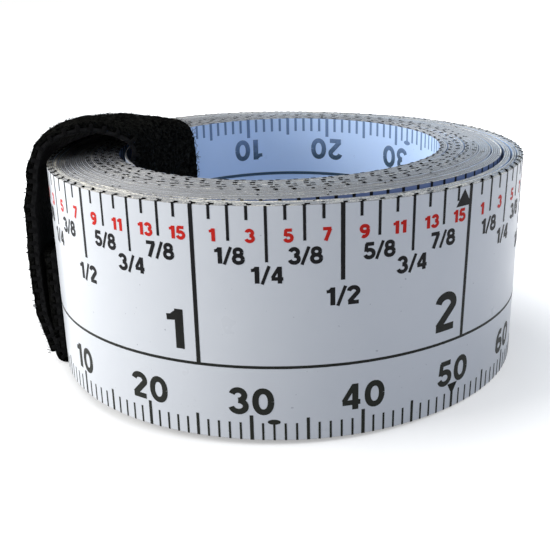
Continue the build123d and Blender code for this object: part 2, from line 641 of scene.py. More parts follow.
@dataclass(frozen=True)
class Winding:
    """How the tape lies in the coil, by the angle wound on from its outer end."""

    outer_radius: float = 24.64
    thickness: float = TAPE_THICKNESS
    turn_pitch: float = 0.212
    whole_turns: int = 38
    inner_arc: float = math.radians(52)
    outer_end: float = math.radians(175.5)
    width: float = TAPE_WIDTH
    printed_length: float = 4900
    # The turns stand at slightly different heights. Directions, spreads and spans are in
    # degrees. A pair of turns is where something starts and where it is complete.
    crown: float = 0.33
    crown_turns: tuple[float, float] = (5, 27)
    unevenness: float = 0.035
    back_lift: float = 0.42
    back_lift_direction: float = 142
    back_lift_spread: float = 70
    back_lift_turns: tuple[float, float] = (10, 25)
    # The inner turns lean: up behind the front and down before it.
    lean: tuple[float, float] = (0.2, 0.1)
    lean_direction: float = 287.5
    lean_turns: tuple[float, float] = (8, 27)
    # On one side the outer turns stand lower than the rest, and flare out.
    low_turns: int = OUTER_LAPS
    low_step: float = 0.19
    low_span: tuple[float, float, float] = (260, 325, 385)
    flare: float = 0.6
    flare_span: tuple[float, float, float] = (285, 330, 390)
    # There they bulge too, and each lap further in bulges less.
    bulge: float = 0.2
    bulge_direction: float = 26
    bulge_spread: float = 70
    bulge_lost: float = 0.06
    # The strap squeezes the turns together.
    squeeze: float = 0.75
    squeeze_direction: float = 202
    squeeze_spread: float = 62
    # Gaps between turns: the lap before, the width and the direction.
    gaps: tuple[tuple[int, float, float], ...] = (
        (2, 0.10, -20),
        (4, 0.20, -10),
        (7, 0.40, -45),
        (12, 0.16, -20),
        (18, 0.14, -35),
        (25, 0.12, -10),
        (33, 0.12, -15),
    )
    gap_spread: float = 62
    # The cut inner end springs off the wall and comes back to it.
    spring_bulge: float = 0.62

    @property
    def whole_angle(self) -> float:
        """The angle from the outer end to the inner end."""
        return self.whole_turns * FULL_TURN + self.inner_arc

    def direction(self, angle: float) -> float:
        """The direction from the axis, from the coil's +X."""
        return self.outer_end + angle

    def lap(self, angle: float) -> int:
        """Which lap a place is on, counted behind the strap, where the laps lie evenly."""
        return int(angle // FULL_TURN)

    def rise(self, angle: float) -> float:
        """How far the tape stands above the outer turn's level."""
        turns = angle / FULL_TURN
        degrees = math.degrees(self.direction(angle)) % 360
        level = self.crown * smooth(turns, *self.crown_turns)
        uneven = noise.noise(Vector((angle * 0.9, 3.7, 0))) * smooth(turns, 0.9, 2)
        level += self.unevenness * uneven
        lifted = share_near(degrees, self.back_lift_direction, self.back_lift_spread)
        level += self.back_lift * lifted * (1 - smooth(turns, *self.back_lift_turns))
        front = math.cos(math.radians(degrees - self.lean_direction))
        behind, before = self.lean
        leaning = behind * max(0, -front) ** 2 - before * max(0, front)
        level += leaning * smooth(turns, *self.lean_turns)
        if self.lap(angle) >= self.low_turns:
            level += self.low_step * share_between(degrees, self.low_span)
        return level

    def radius(self, angle: float) -> float:
        """The radius of the tape's outer face."""
        turns = angle / FULL_TURN
        even = self.outer_radius - self.turn_pitch * turns
        lap = self.lap(angle)
        degrees = math.degrees(self.direction(angle))
        wound = turns / self.whole_turns
        loose = sum(
            width * (wound - (lap > after)) * share_near(degrees, where, self.gap_spread)
            for after, width, where in self.gaps
        )
        past_end = angle - self.whole_turns * FULL_TURN
        if past_end > 0:
            even -= self.spring_bulge * math.sin(math.pi * past_end / self.inner_arc) ** 0.8
        if lap < self.low_turns:
            bulging = share_near(degrees, self.bulge_direction, self.bulge_spread)
            loose += self.bulge * bulging * (1 - self.bulge_lost * lap)
        squeezed = share_near(degrees, self.squeeze_direction, self.squeeze_spread)
        return even + loose + self.squeeze * wound * squeezed

    def point(self, angle: float, height: float, depth: float) -> Vector:
        """A point on the tape.

        Args:
            angle: The angle wound on from the outer end.
            height: The height above the tape's lower edge.
            depth: The depth in from its outer face. A negative depth stands proud.

        Returns:
            The point in the coil's frame.
        """
        radius = self.radius(angle) - depth
        direction = self.direction(angle)
        if self.lap(angle) < self.low_turns:
            flared = share_between(math.degrees(direction), self.flare_span)
            radius += self.flare * flared * (height / self.width - 0.5)
        return Vector(
            (radius * math.cos(direction), radius * math.sin(direction), height + self.rise(angle))
        )


class TapePart(Enum):
    """The parts of the ribbon that have their own material, in the order of its materials."""

    FRONT = 0
    EDGE = 1
    # The reverse face, drawn in painted blue light.
    REVERSE = 2
    SHADED = 3


@dataclass(frozen=True)
class TapeRibbon:
    """The whole tape as one closed ribbon."""

    winding: Winding
    steps_each_turn: int = 150
    edge_bevel: float = 0.035

    def build(self) -> bmesh.types.BMesh:
        """Makes the ribbon flat, thickens it, softens its edges and winds it up."""
        winding = self.winding
        steps = round(winding.whole_angle / FULL_TURN * self.steps_each_turn)
        shape = bmesh.new()
        sheet(shape, (steps, 1), (0, 0), (winding.whole_angle, winding.width))
        bmesh.ops.solidify(shape, geom=shape.faces[:], thickness=winding.thickness)
        soften(shape, [e for e in shape.edges if self.is_corner(e)], self.edge_bevel, segments=1)
        depth_low = min(v.co.z for v in shape.verts)
        unwound = shape.loops.layers.uv.new("unwound")
        for face in shape.faces:
            lap = winding.lap(face.calc_center_median().x)
            for loop in face.loops:
                loop[unwound].uv = (loop.vert.co.x, lap)
        for vert in shape.verts:
            vert.co = winding.point(vert.co.x, vert.co.y, vert.co.z - depth_low)
        bmesh.ops.recalc_face_normals(shape, faces=shape.faces)
        for face in shape.faces:
            middle = face.calc_center_median()
            inwards = face.normal.x * middle.x + face.normal.y * middle.y < 0
            # The lap that stands above the outer ones lies in their shade.
            shaded = round(face.loops[0][unwound].uv.y) == winding.low_turns
            front = TapePart.SHADED if shaded else TapePart.FRONT
            side = TapePart.REVERSE if inwards else front
            face.material_index = (TapePart.EDGE if abs(face.normal.z) > 0.4 else side).value
        return shape

    @staticmethod
    def is_corner(edge: bmesh.types.BMEdge) -> bool:
        """Whether an edge is one of the four that run along the flat ribbon's corners."""
        span = edge.verts[1].co - edge.verts[0].co
        return abs(span.x) > 1e-6 and abs(span.y) < 1e-6 and abs(span.z) < 1e-6


# ---------------------------------------------------------------- print


class Side(Enum):
    """The tape's two faces. The back carries the scale the other way up."""

    FRONT = 1
    BACK = -1


@dataclass(frozen=True)
class Line:
    """A straight stroke, for numerals one unit high."""

    start: tuple[float, float]
    stop: tuple[float, float]
    weight: float = 1.0

    def points(self) -> list[Vector]:
        """The stroke's middle line."""
        start, stop = Vector(self.start), Vector(self.stop)
        parts = max(1, math.ceil((stop - start).length / 0.12))
        return [start.lerp(stop, index / parts) for index in range(parts + 1)]


@dataclass(frozen=True)
class Bow:
    """A curved stroke: part of a slightly square ellipse."""

    centre: tuple[float, float]
    reach: tuple[float, float]
    first: float = 0
    last: float = 360
    weight: float = 1.0
    square: float = 0.92

    def points(self) -> list[Vector]:
        """The stroke's middle line."""
        parts = max(4, round(abs(self.last - self.first) / 15))
        found = []
        for index in range(parts + 1):
            angle = math.radians(self.first + (self.last - self.first) * index / parts)
            way = (math.cos(angle), math.sin(angle))
            offset = [math.copysign(abs(w) ** self.square, w) * r for w, r in zip(way, self.reach)]
            found.append(Vector(self.centre) + Vector(offset))
        return found


@dataclass(frozen=True)
class Glyph:
    """One numeral: its strokes, and how far it takes the pen."""

    advance: float
    strokes: tuple[Line | Bow, ...]


GLYPHS = {
    "0": Glyph(0.80, (Bow((0.375, 0.5), (0.275, 0.41)),)),
    "1": Glyph(
        0.62,
        (
            Line((0.37, 0), (0.37, 1), 1.08),
            Line((0.04, 0.775), (0.32, 0.80), 0.75),
            Line((0.16, 0.80), (0.34, 0.94), 0.6),
        ),
    ),
    "2": Glyph(
        0.80,
        (
            Bow((0.37, 0.70), (0.255, 0.21), 172, -28, 1.0, 1.0),
            Line((0.605, 0.625), (0.13, 0.12)),
            Line((0.07, 0.08), (0.66, 0.08), 0.9),
        ),
    ),
    "3": Glyph(
        0.80,
        (
            Bow((0.36, 0.72), (0.225, 0.20), 168, -90, 0.95, 1.0),
            Bow((0.36, 0.30), (0.265, 0.22), 90, -168, 0.95, 1.0),
        ),
    ),
    "4": Glyph(
        0.80,
        (
            Line((0.51, 0), (0.51, 1)),
            Line((0.47, 0.95), (0.09, 0.33), 0.8),
            Line((0.04, 0.28), (0.70, 0.28), 0.85),
        ),
    ),
    "5": Glyph(
        0.80,
        (
            Line((0.14, 0.915), (0.64, 0.915), 0.9),
            Line((0.19, 0.95), (0.14, 0.46), 0.85),
            Bow((0.36, 0.325), (0.27, 0.24), 138, -165, 0.95, 1.0),
        ),
    ),
    "6": Glyph(
        0.80,
        (Bow((0.375, 0.315), (0.265, 0.225)), Bow((0.43, 0.46), (0.32, 0.45), 183, 62, 1.0, 1.0)),
    ),
    "7": Glyph(0.76, (Line((0.05, 0.915), (0.67, 0.915), 0.9), Line((0.60, 0.92), (0.24, 0)))),
    "8": Glyph(
        0.80,
        (
            Bow((0.375, 0.725), (0.215, 0.195), weight=0.9),
            Bow((0.375, 0.30), (0.265, 0.22), weight=0.95),
        ),
    ),
    "9": Glyph(
        0.80,
        (Bow((0.375, 0.685), (0.265, 0.225)), Bow((0.32, 0.54), (0.32, 0.45), 3, -118, 1.0, 1.0)),
    ),
    "/": Glyph(0.46, (Line((-0.01, -0.05), (0.41, 1.04), 0.75),)),
}


@dataclass(frozen=True)
class Lettering:
    """Plain bold numerals of one size, drawn flat in millimetres with a pen of one width."""

    height: float
    foot: float
    pen: float
    spread: float = 1.0

    def width(self, text: str) -> float:
        """How wide a word is, with the gap after its last numeral."""
        return sum(GLYPHS[letter].advance for letter in text) * self.height * self.spread

    def word(self, shape: bmesh.types.BMesh, text: str, left: float) -> None:
        """Draws a word.

        Args:
            shape: The flat print that it is added to.
            text: The numerals.
            left: Where the word starts along the tape.
        """
        for letter in text:
            for stroke in GLYPHS[letter].strokes:
                made = self.stroke(shape, stroke)
                bmesh.ops.scale(shape, verts=made, vec=(self.height, self.height, 1))
                bmesh.ops.translate(shape, verts=made, vec=(left, self.foot, 0))
            left += self.width(letter)

    def stroke(self, shape: bmesh.types.BMesh, stroke: Line | Bow) -> list[bmesh.types.BMVert]:
        """Lays a flat strip along a stroke."""
        points = stroke.points()
        last = len(points) - 1
        made = bmesh.ops.create_grid(shape, x_segments=last, y_segments=1, size=0.5)["verts"]
        for vert in made:
            index = round((vert.co.x + 0.5) * last)
            ahead = (points[min(index + 1, last)] - points[max(index - 1, 0)]).normalized()
            side = Vector((-ahead.y, ahead.x)) * self.pen / self.height * stroke.weight * vert.co.y
            vert.co = (points[index] + side).to_3d()
        return made


@dataclass(frozen=True)
class Tick:
    """The ticks that stand at every so many divisions, by their width and length."""

    every: int
    wide: float
    long: float


@dataclass(frozen=True)
class ScaleLayout:
    """The generic inch and millimetre scale, laid out flat. Heights are from the metric edge."""

    side: Side = Side.FRONT
    # The angle wound on to the scale's zero, and how much of it is printed.
    zero: float = math.radians(34.4)
    length: float = 140
    width: float = TAPE_WIDTH
    divide: float = 7.05
    line: float = 0.27
    # The longest come first. The whole inches' ticks stop at the dividing line.
    sixteenths: tuple[Tick, ...] = (
        Tick(16, 0.38, TAPE_WIDTH),
        Tick(8, 0.38, 6.6),
        Tick(4, 0.26, 4.8),
        Tick(2, 0.26, 3.0),
        Tick(1, 0.26, 1.2),
    )
    millimetres: tuple[Tick, ...] = (Tick(10, 0.33, 2.42), Tick(5, 0.28, 2.18), Tick(1, 0.20, 1.68))
    red: Lettering = Lettering(1.12, 18.30, 0.31)
    eighths: Lettering = Lettering(1.42, 16.40, 0.36, 1.02)
    quarters: Lettering = Lettering(1.48, 14.73, 0.37, 1.06)
    halves: Lettering = Lettering(1.6, 12.58, 0.39, 1.04)
    inches: Lettering = Lettering(3.7, 8.26, 0.76, 0.95)
    tens: Lettering = Lettering(2.5, 2.53, 0.57, 1.09)
    inch_gap: float = 1.08
    red_shift: float = 0.22
    # The marks beside the scale: each one's place along it, width and height.
    inch_pointer: tuple[float, float, float] = (1.967 * INCH, 1.95, 1.5)
    metric_pointer: tuple[float, float, float] = (50, 1.35, 1.2)
    dot: tuple[float, float, float] = (32, 1.15, 0.5)
    # The ticks on the lap that stands above the outer ones.
    inner_tick: float = 0.3


BACK_LAYOUT = ScaleLayout(
    side=Side.BACK,
    zero=math.radians(13661.5),
    length=100,
    divide=6.9,
    line=0.36,
    millimetres=(Tick(10, 0.38, 2.25), Tick(5, 0.34, 2.05), Tick(1, 0.29, 1.6)),
)


@dataclass(frozen=True)
class PrintedScale:
    """The scale on one face of the tape, as a thin film of ink."""

    winding: Winding
    layout: ScaleLayout
    proud: float = 0.012
    film: float = 0.008
    bar_step: float = 0.9

    def angle(self, along: float) -> float:
        """The angle wound on at a distance along the scale from its zero."""
        zero, inwards = self.layout.zero, self.layout.side.value
        radius = self.winding.outer_radius - self.winding.turn_pitch * zero / FULL_TURN
        shrink = self.winding.turn_pitch / math.pi
        left = math.sqrt(radius**2 - inwards * shrink * along)
        return zero + 2 / shrink * (radius - left)

    def wind(self, shape: bmesh.types.BMesh) -> None:
        """Winds a flat print, laid out along +X on the front and -X on the back, onto the coil."""
        front = self.layout.side is Side.FRONT
        for vert in shape.verts:
            angle = self.angle(vert.co.x * self.layout.side.value)
            if front:
                vert.co = self.winding.point(angle, vert.co.y, vert.co.z)
            else:
                height = self.winding.width - vert.co.y
                vert.co = self.winding.point(angle, height, self.winding.thickness - vert.co.z)

    def bar(
        self, shape: bmesh.types.BMesh, low: tuple[float, float], high: tuple[float, float]
    ) -> None:
        """Adds a bar between two corners to a flat print."""
        across = max(1, round((high[0] - low[0]) / self.bar_step))
        sheet(shape, (across, 1), low, high)

    def tick(
        self, shape: bmesh.types.BMesh, along: float, wide: float, foot: float, top: float
    ) -> None:
        """Adds a tick.

        Args:
            shape: The flat print.
            along: Where its middle lies along the scale.
            wide: Its width.
            foot: The height of its lower end.
            top: The height of its upper end.
        """
        middle = along * self.layout.side.value
        self.bar(shape, (middle - wide / 2, foot), (middle + wide / 2, top))

    def ticks(self, shape: bmesh.types.BMesh) -> None:
        """Adds the ticks of both scales."""
        sizes = self.layout
        for count in range(int(sizes.length / INCH * 16) + 1):
            size = next(tick for tick in sizes.sixteenths if count % tick.every == 0)
            foot = max(sizes.divide, sizes.width - size.long)
            self.tick(shape, count * INCH / 16, size.wide, foot, sizes.width)
        for count in range(int(sizes.length) + 1):
            size = next(tick for tick in sizes.millimetres if count % tick.every == 0)
            self.tick(shape, count, size.wide, 0, size.long)

    def write(
        self, shape: bmesh.types.BMesh, text: str, lettering: Lettering, middle: float
    ) -> None:
        """Writes a word.

        Args:
            shape: The flat print.
            text: The numerals.
            lettering: Their size.
            middle: Where the word's middle lies along the scale.
        """
        gap = 0.12 * lettering.height
        left = middle * self.layout.side.value - (lettering.width(text) - gap) / 2
        lettering.word(shape, text, left)

    def fractions(self, shape: bmesh.types.BMesh) -> None:
        """Writes the eighths, quarters and halves of each inch."""
        sizes = self.layout
        for eighth in range(1, int(sizes.length / INCH * 8) + 1):
            middle = eighth * INCH / 8
            part = eighth % 8
            if part % 2:
                self.write(shape, f"{part}/8", sizes.eighths, middle)
            elif part % 4:
                self.write(shape, f"{part // 2}/4", sizes.quarters, middle)
            elif part:
                self.write(shape, "1/2", sizes.halves, middle)

    def large(self, shape: bmesh.types.BMesh) -> None:
        """Writes the whole inches and the tens of millimetres."""
        sizes = self.layout
        for inch in range(1, int(sizes.length / INCH) + 1):
            shift = sizes.inch_gap + sizes.inches.width(str(inch)) / 2
            self.write(shape, str(inch), sizes.inches, inch * INCH - shift * sizes.side.value)
        for ten in range(10, int(sizes.length), 10):
            self.write(shape, str(ten), sizes.tens, ten)

    def marks(self, shape: bmesh.types.BMesh) -> None:
        """Adds the pointers beside 1 15/16 in and 50 mm, and the dot on the 32 mm tick."""
        sizes = self.layout
        along, wide, high = sizes.inch_pointer
        tip = sizes.width - 0.25
        self.pointer(shape, along, wide, (tip - high, tip))
        along, wide, high = sizes.metric_pointer
        foot = sizes.millimetres[0].long + 0.1
        self.pointer(shape, along, wide, (foot, foot - high))
        along, wide, high = sizes.dot
        dot = bmesh.ops.create_circle(shape, cap_ends=True, segments=20, radius=0.5)["verts"]
        bmesh.ops.scale(shape, verts=dot, vec=(wide, high, 1))
        place = (along * sizes.side.value, sizes.millimetres[-1].long + 0.12, 0)
        bmesh.ops.translate(shape, verts=dot, vec=place)

    def pointer(
        self, shape: bmesh.types.BMesh, along: float, wide: float, heights: tuple[float, float]
    ) -> None:
        """Adds a solid triangle.

        Args:
            shape: The flat print.
            along: Where it lies along the scale.
            wide: How wide its flat foot is.
            heights: The heights of its foot and its tip.
        """
        made = bmesh.ops.create_grid(shape, x_segments=4, y_segments=1, size=0.5)["verts"]
        foot, tip = heights
        for vert in made:
            at_tip = vert.co.y > 0
            side = 0.0 if at_tip else vert.co.x * wide
            vert.co = (along * self.layout.side.value + side, tip if at_tip else foot, 0)
        bmesh.ops.remove_doubles(shape, verts=made, dist=1e-4)

    def lift(self, shape: bmesh.types.BMesh) -> bmesh.types.BMesh:
        """Gives a flat print its thin film and winds it on."""
        bmesh.ops.recalc_face_normals(shape, faces=shape.faces)
        bmesh.ops.solidify(shape, geom=shape.faces[:], thickness=self.film)
        middle = sum(v.co.z for v in shape.verts) / len(shape.verts)
        for vert in shape.verts:
            vert.co.z = -self.proud if vert.co.z > middle else -self.proud + self.film
        self.wind(shape)
        bmesh.ops.recalc_face_normals(shape, faces=shape.faces)
        return shape

    def black(self) -> bmesh.types.BMesh:
        """Makes all the black print of this face."""
        shape = bmesh.new()
        self.ticks(shape)
        self.fractions(shape)
        self.large(shape)
        self.marks(shape)
        sizes = self.layout
        first, last = sorted((-INCH / 4 * sizes.side.value, sizes.length * sizes.side.value))
        below, above = sizes.divide - sizes.line / 2, sizes.divide + sizes.line / 2
        self.bar(shape, (first, below), (last, above))
        return self.lift(shape)

    def red(self) -> bmesh.types.BMesh:
        """Makes the red odd sixteenths of this face."""
        sizes = self.layout
        shape = bmesh.new()
        for count in range(1, int(sizes.length / INCH * 16), 2):
            middle = count * INCH / 16 + sizes.red_shift * sizes.side.value
            self.write(shape, str(count % 16), sizes.red, middle)
        return self.lift(shape)

    def all_sixteenths(self) -> list[float]:
        """Where the sixteenths of an inch lie along the whole tape."""
        return [count * INCH / 16 for count in range(int(self.winding.printed_length / INCH * 16))]

    def inner_ticks(self) -> bmesh.types.BMesh:
        """Makes the sixteenths on the lap that stands above the outer ones."""
        sizes = self.layout
        shape = bmesh.new()
        for along in self.all_sixteenths():
            if self.winding.lap(self.angle(along)) == self.winding.low_turns:
                foot = sizes.width - sizes.sixteenths[-1].long
                self.tick(shape, along, sizes.inner_tick, foot, sizes.width)
        return self.lift(shape)


@dataclass(frozen=True)
class EdgeMarks:
    """Ink that ran over the tape's upper edge at each sixteenth of an inch."""

    scale: PrintedScale
    seed: int = 11
    # The turns that it fades between: the outermost ones, then the inner ones.
    outer_turns: tuple[float, float] = (2, 4)
    inner_turns: tuple[float, float] = (17, 23)
    # How often a mark shows and how long it is, where the ink is faint, and what full ink adds.
    chance: tuple[float, float] = (0.05, 0.9)
    long: tuple[float, float] = (0.2, 0.22)
    proud: float = 0.015
    film: float = 0.01

    def places(self) -> list[tuple[float, float]]:
        """Picks where the marks lie along the tape, and how long each is."""
        dice = random.Random(self.seed)
        found = []
        for along in self.scale.all_sixteenths():
            turn = self.scale.angle(along) / FULL_TURN
            # The ink shows on the outermost turns, and on every other pair of the inner ones.
            outer = 1 - smooth(turn, *self.outer_turns)
            strength = max(outer, smooth(turn, *self.inner_turns) * (int(turn) % 4 < 2))
            if dice.random() < self.chance[0] + self.chance[1] * strength:
                long = self.long[0] + self.long[1] * strength
                found.append((along, long * dice.uniform(0.85, 1.15)))
        return found

    def build(self) -> bmesh.types.BMesh:
        """Makes the marks as thin patches."""
        winding = self.scale.winding
        places = self.places()
        shape = bmesh.new()
        for (along, long), slip in zip(places, slips(shape, len(places), 1)):
            for vert, share, side in slip:
                depth = side * (winding.turn_pitch + self.film) - self.proud
                vert.co = (along + (share - 0.5) * long, winding.width + self.film, depth)
        bmesh.ops.solidify(shape, geom=shape.faces[:], thickness=self.film)
        for vert in shape.verts:
            angle = self.scale.angle(vert.co.x)
            vert.co = winding.point(angle, vert.co.y, vert.co.z)
        bmesh.ops.recalc_face_normals(shape, faces=shape.faces)
        return shape


# ---------------------------------------------------------------- the strap


@dataclass(frozen=True)
class Station:
    """One place on the strap's line, in a plane that holds the coil's axis."""

    reach: float
    height: float
    out_reach: float
    out_height: float


@dataclass(frozen=True)
class StrapLine:
    """The strap's tape side: down the wall, under it, up the bore, over it and down again."""

    outer_lap: float = 24.88
    bore_lap: float = 16.3
    flap: float = 26.1
    lap_top: float = 11.5
    underside: float = -0.2
    top_inner: float = 21.7
    top_outer: float = 22.4
    flap_end: float = 0.15
    thickness: float = 1.15
    bends: tuple[float, ...] = (0.4, 0.4, 0.8, 3.0)

    def corners(self) -> list[Vector]:
        """The line's ends and corners."""
        return [
            Vector((self.outer_lap, self.lap_top)),
            Vector((self.outer_lap, self.underside)),
            Vector((self.bore_lap, self.underside)),
            Vector((self.bore_lap, self.top_inner)),
            Vector((self.flap, self.top_outer)),
            Vector((self.flap, self.flap_end)),
        ]

    def pieces(self) -> list[tuple[float, Callable[[float], Station]]]:
        """Lists the runs and bends in order.

        Returns:
            Each one's length along the strap's outer side, and its station at a share of it.
        """
        found = []
        corners = self.corners()
        start = corners[0]
        for index, radius in enumerate(self.bends, 1):
            before = (corners[index] - corners[index - 1]).normalized()
            after = (corners[index + 1] - corners[index]).normalized()
            turn = before.angle(after)
            cut = radius * math.tan(turn / 2)
            stop = corners[index] - before * cut
            found.append(self.run(start, stop))
            found.append(self.bend(stop, before, radius, turn))
            start = corners[index] + after * cut
        found.append(self.run(start, corners[-1]))
        return found

    @staticmethod
    def run(start: Vector, stop: Vector) -> tuple[float, Callable[[float], Station]]:
        """A straight run."""
        ahead = (stop - start).normalized()

        def station(share: float) -> Station:
            """The station at a share of the run."""
            place = start.lerp(stop, share)
            return Station(place.x, place.y, -ahead.y, ahead.x)

        return (stop - start).length, station

    def bend(
        self, start: Vector, ahead: Vector, radius: float, turn: float
    ) -> tuple[float, Callable[[float], Station]]:
        """A round bend towards the tape."""
        out = Vector((-ahead.y, ahead.x))
        centre = start - out * radius

        def station(share: float) -> Station:
            """The station at a share of the bend."""
            angle = turn * share
            way = out * math.cos(angle) + ahead * math.sin(angle)
            place = centre + way * radius
            return Station(place.x, place.y, way.x, way.y)

        return (radius + self.thickness) * turn, station

    def marks(self) -> list[float]:
        """How far along the strap each run and bend starts, and where the last one ends."""
        found = [0.0]
        for length, _ in self.pieces():
            found.append(found[-1] + length)
        return found


@dataclass(frozen=True)
class Folds:
    """How far the cloth stands off its line where it isn't held, in millimetres."""

    ripple: float = 0.24
    over_coil: float = 0.45
    back_low: float = 0.75
    front_arch: float = 0.75
    before_corner: float = 0.85
    below_corner: float = 0.42
    back_edge: float = 0.22
    flap: float = 0.42
    in_bore: float = 0.5
    tuck: float = 0.75
    tuck_length: float = 5.0
    fray: float = 0.16


@dataclass(frozen=True)
class Stitch:
    """One edge stitch, which lies over the strap's edge."""

    pitch: float = 1.3
    length: float = 0.74
    wide: float = 0.42
    proud: float = 0.15
    rounding: float = 0.1

    def mesh(self) -> bpy.types.Mesh:
        """Makes the stitch at the origin, along Z."""
        shape = bmesh.new()
        bmesh.ops.create_cube(shape, size=1)
        bmesh.ops.scale(shape, verts=shape.verts, vec=(self.wide, self.proud * 2, self.length))
        soften(shape, shape.edges[:], self.rounding)
        return as_mesh("stitch", shape)


@dataclass
class Strap:
    """The hook-and-loop strap, as strips that follow one line round the coil's wall."""

    place: CoilPlace
    line: StrapLine = StrapLine()
    folds: Folds = Folds()
    stitch: Stitch = Stitch()
    front_angle: float = math.radians(207.5)
    back_offset: float = 7.3
    width: float = 20.0
    hook_depth: float = 0.5
    step: float = 0.36
    clear: float = 0.01
    # How deep the loose loops are rooted in the pile.
    root: float = 0.03
    # How rough the outer side of each strip is.
    hook_fuzz: float = 0.3
    pile_fuzz: float = 1.0
    # Loose loops: how many there are, and the seed for their places.
    bore_loops: tuple[int, int] = (1600, 3)
    flap_loops: tuple[int, int] = (3600, 4)

    def __post_init__(self) -> None:
        """Reads where the strap's runs and bends start."""
        self.pieces = self.line.pieces()
        self.starts = self.line.marks()
        self.bore, self.split, self.top, self.corner, self.drop, self.length = self.starts[4:]

    def station(self, along: float) -> Station:
        """The station at a distance along the strap's outer side."""
        last = len(self.pieces) - 1
        index = min(last, max(0, sum(1 for start in self.starts if start <= along) - 1))
        length, station = self.pieces[index]
        return station((along - self.starts[index]) / length)

    def drape(self, along: float, across: float) -> float:
        """How far the cloth stands off its line, where it isn't held."""
        folds, bore, corner, drop = self.folds, self.bore, self.corner, self.drop
        share = across / self.width
        free = smooth(along, bore, bore + 4) * (1 - 0.75 * smooth(along, drop, drop + 6))
        ripple = 0.5 + 0.5 * noise.noise(Vector((along * 0.22, across * 0.2, 2.1)))
        swell = folds.ripple * free * ripple
        # Over the coil the front edge arches up and the back edge lies low.
        over = hump(along, self.split, drop)
        swell += over * (folds.over_coil - folds.back_low * smooth(share, 0.5, 1.0))
        arch = hump(along, self.split, corner + 1) * (1 - smooth(share, 0, 0.42))
        swell += folds.front_arch * arch
        # The cloth stands highest before the corner, which is drawn in, and bulges below it.
        swell += folds.before_corner * hump(along, corner - 8, corner + 4) * (1 - 0.4 * share)
        swell -= folds.below_corner * hump(along, corner + 2, drop + 2.5)
        swell -= folds.back_edge * hump(along, self.split - 2, corner) * smooth(share, 0.6, 1)
        swell += folds.flap * hump(along, drop, self.length)
        # In the bore a fold runs up the strap, and leans towards its back edge.
        in_bore = smooth(along, bore, bore + 6) * (1 - smooth(along, self.top - 1, self.top + 3))
        fold = math.exp(-(((share - 0.42 - 0.012 * (along - bore)) / 0.10) ** 2))
        return swell + folds.in_bore * in_bore * fold

    def tuck(self, along: float) -> float:
        """How far the flap's free end curls in under the coil's lower edge."""
        return self.folds.tuck * smooth(along, self.length - self.folds.tuck_length, self.length)

    def point(self, along: float, across: float, depth: float, fuzz: float = 0.0) -> Vector:
        """A point in the strap.

        Args:
            along: The distance along its outer side, from its buried end.
            across: The distance from its front edge, as cut flat.
            depth: The depth out from its tape side.
            fuzz: How rough the surface is there.

        Returns:
            The point in the coil's frame.
        """
        station = self.station(along)
        off = depth + self.drape(along, across) - self.tuck(along)
        if fuzz:
            off += fuzz * (
                0.10 * noise.noise(Vector((along * 0.9, across * 0.9, 0)))
                + 0.07 * noise.noise(Vector((along * 2.3, across * 2.3, 5)))
            )
        radius = station.reach + station.out_reach * off
        height = station.height + station.out_height * off
        back_angle = math.pi - math.asin(self.back_offset / radius)
        share = across / self.width
        edge = abs(share - 0.5) * 2
        sway = self.folds.fray * edge**4 * noise.noise(Vector((along * 0.35, share * 4, 9)))
        angle = self.front_angle + (back_angle - self.front_angle) * share + sway / radius
        place = Vector((radius * math.cos(angle), radius * math.sin(angle), height))
        return self.above_floor(place)

    def above_floor(self, place: Vector) -> Vector:
        """The nearest place straight above that is clear of the floor."""
        return Vector((place.x, place.y, max(place.z, self.place.floor(place) + self.clear)))

    def strip(
        self, start: float, stop: float, depths: tuple[float, float], fuzz: float
    ) -> bmesh.types.BMesh:
        """Makes a length of one strip.

        Args:
            start: Where it starts along the strap.
            stop: Where it stops.
            depths: The depths of its tape side and its outer side.
            fuzz: How rough its outer side is.

        Returns:
            The strip in the coil's frame.
        """
        inner, outer = depths
        thickness = outer - inner
        shape = bmesh.new()
        parts = (round((stop - start) / self.step), round(self.width / self.step))
        sheet(shape, parts, (0, 0), (stop - start, self.width))
        bmesh.ops.solidify(shape, geom=shape.faces[:], thickness=thickness)
        low = min(v.co.z for v in shape.verts)
        bmesh.ops.translate(shape, verts=shape.verts, vec=(start, 0, inner - low))
        rims = [e for e in shape.edges if e.is_manifold and e.calc_face_angle(0) > 1]
        soften(shape, rims, thickness * 0.3)
        for vert in shape.verts:
            along, across, depth = vert.co
            rough = fuzz * max(0.0, (depth - inner) / thickness)
            vert.co = self.point(along, across, depth, rough)
        bmesh.ops.recalc_face_normals(shape, faces=shape.faces)
        return shape

    def frame_at(self, along: float, across: float, depth: float) -> Matrix:
        """A frame on the strap: X along it, Y across it and Z out of it."""
        reach = 0.05
        here = self.point(along, across, depth)
        ahead = self.point(along + reach, across, depth) - self.point(along - reach, across, depth)
        ahead.normalize()
        side = self.point(along, across + reach, depth) - self.point(along, across - reach, depth)
        out = ahead.cross(side).normalized()
        outer = self.point(along, across, depth + reach) - here
        if out.dot(outer) < 0:
            out.negate()
        turned = Matrix((ahead, out.cross(ahead), out)).transposed().to_4x4()
        turned.translation = here
        return turned

    def stitches(self, start: float, stop: float) -> bmesh.types.BMesh:
        """Makes the edge stitches on both edges of a length of the strap."""
        mesh = self.stitch.mesh()
        shape = bmesh.new()
        count = int((stop - start) / self.stitch.pitch)
        for index in range(count):
            along = start + (index + 0.5) * (stop - start) / count
            for across in (0.0, self.width):
                before = len(shape.verts)
                shape.from_mesh(mesh)
                shape.verts.ensure_lookup_table()
                turned = self.frame_at(along, across, self.hook_depth)
                bmesh.ops.transform(shape, matrix=turned, verts=shape.verts[before:])
        bpy.data.meshes.remove(mesh)
        for vert in shape.verts:
            vert.co = self.above_floor(vert.co)
        return shape

